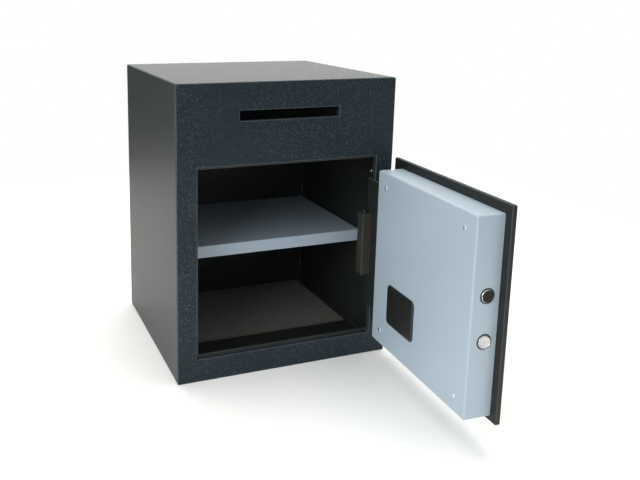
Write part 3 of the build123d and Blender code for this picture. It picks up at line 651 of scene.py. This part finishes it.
def add_bolts():
    """Two turned bolts, dished at the end; in the upper one's dish a black colour paints a dark reflection."""
    low, high = shut_box("locking_bolts")
    radius = (high.y - low.y) / 2
    length = high.x - low.x
    rim = radius - BOLT_CHAMFER * 1.3
    profile = [
        (0, 0),
        (radius, 0),
        (radius, length - BOLT_CHAMFER),
        (radius - BOLT_CHAMFER * 0.35, length - BOLT_CHAMFER * 0.35),
        (radius - BOLT_CHAMFER, length),
        (rim, length),
        (rim * 0.96, length - BOLT_DISH),
        (BOLT_CENTRE_RADIUS, length - BOLT_DISH),
        (BOLT_CENTRE_RADIUS / 2, length - BOLT_DISH * 2.4),
        (0, length - BOLT_DISH * 2.6),
    ]
    for name, z in (("lower", low.z + radius), ("upper", high.z - radius)):
        place = SHUT_TO_REST @ Matrix.Translation((high.x, low.y + radius, z)) @ TO_LATCH
        shape = lathe(profile, BOLT_STEPS)
        piece = finish_piece(f"bolt_{name}", shape, place, "boltwork", "bolt_chrome")
        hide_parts("locking_bolts")
        # The upper bolt's dish is painted black, a painted dark reflection.
        if name == "upper":
            blacken_end(piece, Vector((low.y + radius, z)), radius, low.x)


def add_battery_cover():
    """The snap-on cover: crowned, with a wide bevel and a thumb notch at its foot."""
    low, high = shut_box("battery_cover")
    height = high.z - low.z
    thick = high.y - low.y
    levels = [(inset, thick * up) for inset, up in COVER_LEVELS]
    pad = stacked_pad(high.x - low.x, height, COVER_CORNER, levels)
    notch_profile = [
        (0, -NOTCH_HALF_DEPTH),
        (NOTCH_RADIUS, -NOTCH_HALF_DEPTH),
        (NOTCH_RADIUS, NOTCH_HALF_DEPTH),
        (0, NOTCH_HALF_DEPTH),
    ]
    notch = lathe(notch_profile, NOTCH_STEPS)
    notch.transform(Matrix.Translation((0, height / 2 + NOTCH_BELOW_EDGE, thick + NOTCH_ABOVE_FACE)))
    centre = ((low.x + high.x) / 2, low.y, (low.z + high.z) / 2)
    place = SHUT_TO_REST @ Matrix.Translation(centre) @ INWARD
    piece = finish_piece("cover_moulding", cut(pad, [notch]), place, "battery_cover", "black_plastic")
    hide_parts("battery_cover")


def add_cells():
    """Four cells, each with its band, its shoulder and its contact button, laid head to tail."""
    low, high = shut_box("battery_cells")
    radius = (high.y - low.y) / 2
    length = high.z - low.z
    pitch = (high.x - low.x - 2 * radius) / (CELL_COUNT - 1)
    seam = length * CELL_SEAM_SHARE
    sleeve_profile = [(0, 0), (radius * 0.6, 0), (radius, CELL_FOOT_BEVEL), (radius, seam), (0, seam)]
    top = [(radius * across, length * up) for across, up in CELL_TOP_SHARES]
    cap_profile = [(0, seam), (radius, seam)] + top
    for index in range(CELL_COUNT):
        flip = index % 2 == 1
        foot = (low.x + radius + index * pitch, low.y + radius, high.z if flip else low.z)
        spin = Matrix.Rotation(math.pi, 4, "X") if flip else Matrix.Identity(4)
        place = SHUT_TO_REST @ Matrix.Translation(foot) @ spin
        sleeve_shape = lathe(sleeve_profile, CELL_STEPS)
        sleeve = finish_piece(f"cell_{index}_sleeve", sleeve_shape, place, "door", "cell_wrap")
        cap_shape = lathe(cap_profile, CELL_STEPS)
        cap = finish_piece(f"cell_{index}_cap", cap_shape, place, "door", "cell_wrap", CELL_BAND)
        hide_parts("battery_cells")
        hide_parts("battery_cells")


def add_knob():
    """A ribbed disc with a raised grip and a pale pointer line."""
    low, high = shut_box("knob")
    radius = (high.x - low.x) / 2
    deep = high.y - low.y
    skirt = deep * KNOB_SKIRT_SHARE
    profile = [
        (0, 0),
        (radius * 0.96, 0),
        (radius, KNOB_BASE_BEVEL),
        (radius, skirt * 0.75),
        (radius * 0.95, skirt * 0.93),
        (radius * 0.86, skirt),
        (0, skirt),
    ]
    centre = ((low.x + high.x) / 2, high.y, (low.z + high.z) / 2)
    place = SHUT_TO_REST @ Matrix.Translation(centre) @ OUTWARD
    disc_shape = lathe(profile, 4 * KNOB_RIBS, KNOB_RIBS, KNOB_RIB_DEPTH)
    disc = finish_piece("knob_disc", disc_shape, place, "knob", "black_plastic")
    levels = [
        (0, skirt - GRIP_SINK),
        (0.0002, deep * 0.8),
        (0.0009, deep * 0.94),
        (0.0022, deep - POINTER_PROUD),
    ]
    grip_shape = stacked_pad(GRIP_WIDTH, 2 * radius * 0.9, GRIP_CORNER, levels)
    grip = finish_piece("knob_grip", grip_shape, place, "knob", "black_plastic")
    line_shape = stacked_pad(*POINTER_SIZE, POINTER_CORNER, [(0, deep - POINTER_SINK), (0, deep)])
    line_place = place @ Matrix.Translation((0, radius * 0.45, 0))
    finish_piece("knob_line", line_shape, line_place, "knob", "key_plastic", GLYPH_PAINT)
    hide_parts("knob")
    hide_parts("knob")


def mark_shape(mark):
    """One raised character as a bmesh, centred on the origin."""
    curve = bpy.data.curves.new("mark", "FONT")
    curve.body = mark
    curve.size = MARK_FONT_SIZE
    curve.extrude = MARK_DEPTH
    curve.align_x = "CENTER"
    curve.align_y = "CENTER"
    holder = bpy.data.objects.new("mark_holder", curve)
    bpy.context.scene.collection.objects.link(holder)
    bpy.context.view_layer.update()
    shape = bmesh.new()
    shape.from_mesh(holder.evaluated_get(bpy.context.evaluated_depsgraph_get()).to_mesh())
    bmesh.ops.remove_doubles(shape, verts=shape.verts, dist=MERGE_DISTANCE)
    bpy.data.objects.remove(holder)
    return shape


def add_key_marks():
    """Moulded digits on the keys, and a star and a hash on the two lower corner keys."""
    marks = {str(digit): str(digit) for digit in range(10)}
    marks.update({"clear": "*", "enter": "#"})
    for key, mark in marks.items():
        low, high = shut_box(f"key_{key}")
        spot = Vector(((low.x + high.x) / 2, low.y, (low.z + high.z) / 2))
        place = SHUT_TO_REST @ Matrix.Translation(spot) @ OUTWARD
        finish_piece(
            f"key_mark_{key}", mark_shape(mark), place, f"key_{key}", "key_plastic", GLYPH_PAINT, smooth=False,
        )


def add_felt_mat():
    """The floor mat: a cut felt slab with a slightly wavy, fibrous surface and softened edges."""
    low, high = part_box("floor_mat")
    size = high - low
    dice = random.Random(FELT_SEED)
    shape = bmesh.new()
    grid = {}
    for side in (0, 1):
        for i in range(FELT_COLUMNS + 1):
            for j in range(FELT_ROWS + 1):
                border = min(i, FELT_COLUMNS - i, j, FELT_ROWS - j)
                drop = FELT_EDGE_DROPS[border] if border < len(FELT_EDGE_DROPS) else 0.0
                fuzz = dice.uniform(-FELT_FUZZ, 0.0)
                swing = math.sin(i * FELT_WAVE_TURNS[0]) * math.sin(j * FELT_WAVE_TURNS[1])
                wave = FELT_WAVE * (swing - 1)
                height = high.z - drop + fuzz + wave if side else low.z
                inset = dice.uniform(0, FELT_EDGE_WANDER) if border == 0 else 0
                inward_x = (i == 0) - (i == FELT_COLUMNS)
                inward_y = (j == 0) - (j == FELT_ROWS)
                x = low.x + size.x * i / FELT_COLUMNS + inset * inward_x
                y = low.y + size.y * j / FELT_ROWS + inset * inward_y
                grid[side, i, j] = shape.verts.new((x, y, height))
    for side in (0, 1):
        for i in range(FELT_COLUMNS):
            for j in range(FELT_ROWS):
                corners = ((i, j), (i + 1, j), (i + 1, j + 1), (i, j + 1))
                shape.faces.new([grid[side, across, along] for across, along in corners])
    for i in range(FELT_COLUMNS):
        for j in (0, FELT_ROWS):
            shape.faces.new([grid[0, i, j], grid[0, i + 1, j], grid[1, i + 1, j], grid[1, i, j]])
    for j in range(FELT_ROWS):
        for i in (0, FELT_COLUMNS):
            shape.faces.new([grid[0, i, j], grid[0, i, j + 1], grid[1, i, j + 1], grid[1, i, j]])
    piece = finish_piece("felt_sheet", shape, Matrix.Identity(4), "cabinet", "felt")
    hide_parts("floor_mat")


def weld_bead(side, dice):
    """An upright fillet weld with ripples of uneven size, its legs towards -side and the front."""
    shape = bmesh.new()
    rings = []
    for step in range(WELD_RIPPLES + 1):
        share = step / WELD_RIPPLES
        height = WELD_LENGTH * share
        taper = math.sin(math.pi * (0.12 + 0.76 * share))
        leg = WELD_LEG * taper * (0.85 + 0.3 * dice.random())
        ring = []
        for turn in range(WELD_ARC_STEPS + 1):
            angle = math.radians(90 * turn / WELD_ARC_STEPS)
            ring.append(shape.verts.new((-side * leg * math.cos(angle), -leg * math.sin(angle), height)))
        ring.append(shape.verts.new((0, 0, height)))
        rings.append(ring)
    skin(shape, rings)
    return shape


def add_weld_beads():
    """Short welds up the two inner rear corners."""
    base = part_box("cabinet_wrap")[0].z
    back_low, back_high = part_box("back_panel")
    dice = random.Random(WELD_SEED)
    for side, label in ((-1, "left"), (1, "right")):
        for number, height in enumerate(WELD_HEIGHTS):
            place = Matrix.Translation((side * back_high.x, back_low.y, base + height))
            finish_piece(f"weld_{label}_{number}", weld_bead(side, dice), place, "cabinet", "body_paint")


add_camera()
add_room()
add_studio()
paint_cad_nodes()
add_liner_screws()
add_bolts()
add_battery_cover()
add_cells()
add_knob()
add_key_marks()
add_felt_mat()
add_weld_beads()
